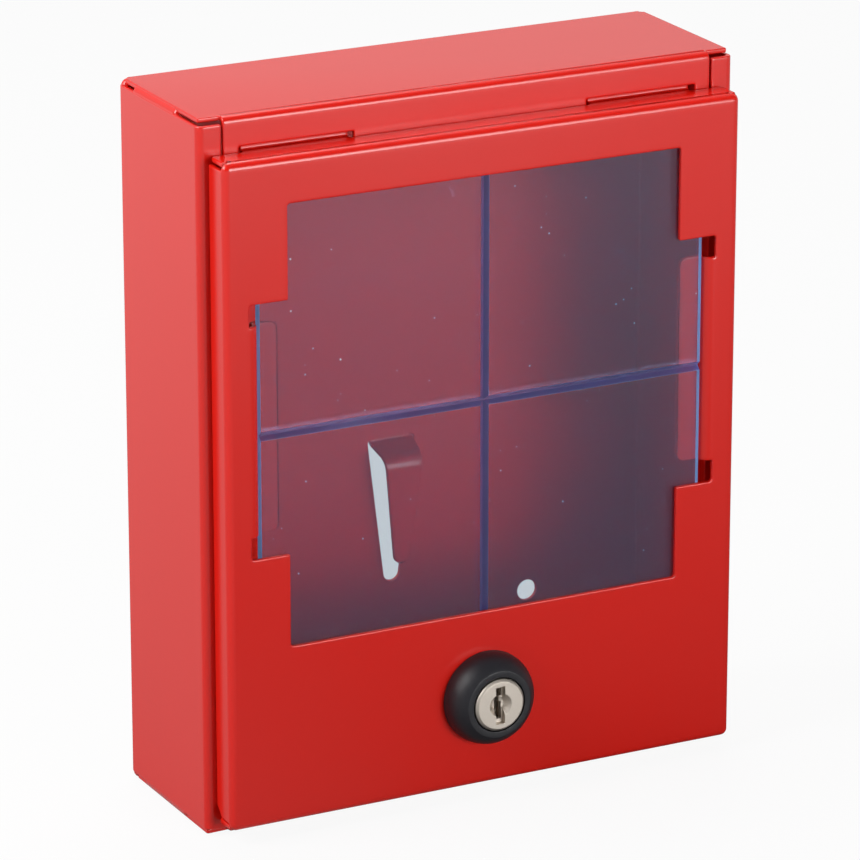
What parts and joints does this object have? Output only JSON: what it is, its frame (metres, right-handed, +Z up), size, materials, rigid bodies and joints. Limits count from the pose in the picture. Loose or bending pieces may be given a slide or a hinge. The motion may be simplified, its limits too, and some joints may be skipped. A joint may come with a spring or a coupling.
{
  "type": "break glass key box",
  "caption": "Wall-mounted steel box for an emergency key, with a lift-up hinged door, a breakable clear pane scored with a cross, an inner key hook and a quarter-turn cam lock.",
  "frame": {"origin": "centre of the case's back face, on the wall", "axes": "+X to the right seen from the front, +Y back into the wall, +Z up; the door faces -Y"},
  "size_m": [0.12, 0.0509, 0.15],
  "materials": {
    "red_paint": "glossy red powder coat on folded steel",
    "clear_acrylic": "clear acrylic sheet with bluish edges",
    "black_plastic": "satin moulded",
    "nickel": "satin nickel plate",
    "zinc": "die-cast zinc, dull plated",
    "zinc_steel": "bright zinc plate",
    "spring_steel": "plain spring steel",
    "wafer_brass": "stamped"
  },
  "bodies": {
    "case": {"case_shell": "red_paint"},
    "door": {"door": "red_paint", "breakable_pane": "clear_acrylic", "lock_rosette": "black_plastic", "lock_housing": "zinc", "tooth_washer": "spring_steel", "lock_nut": "zinc"},
    "lock_core": {"lock_core": "nickel", "wafer_1": "wafer_brass", "wafer_2": "wafer_brass", "wafer_3": "wafer_brass", "wafer_4": "wafer_brass", "wafer_5": "wafer_brass", "wafer_spring_1": "spring_steel", "wafer_spring_2": "spring_steel", "wafer_spring_3": "spring_steel", "wafer_spring_4": "spring_steel", "wafer_spring_5": "spring_steel", "core_clip": "spring_steel", "stop_disc": "zinc_steel", "cam": "zinc_steel", "cam_washer": "spring_steel", "cam_screw": "zinc_steel"}
  },
  "joints": [
    {"name": "door_hinge", "type": "hinge", "parent": "case", "child": "door", "pos_m": [0, -0.037, 0.0687], "axis": [-1, 0, 0], "range_deg": [0, 90]},
    {"name": "lock_turn", "type": "hinge", "parent": "door", "child": "lock_core", "pos_m": [0, -0.045, -0.0525], "axis": [0, 1, 0], "range_deg": [0, 90]}
  ]
}
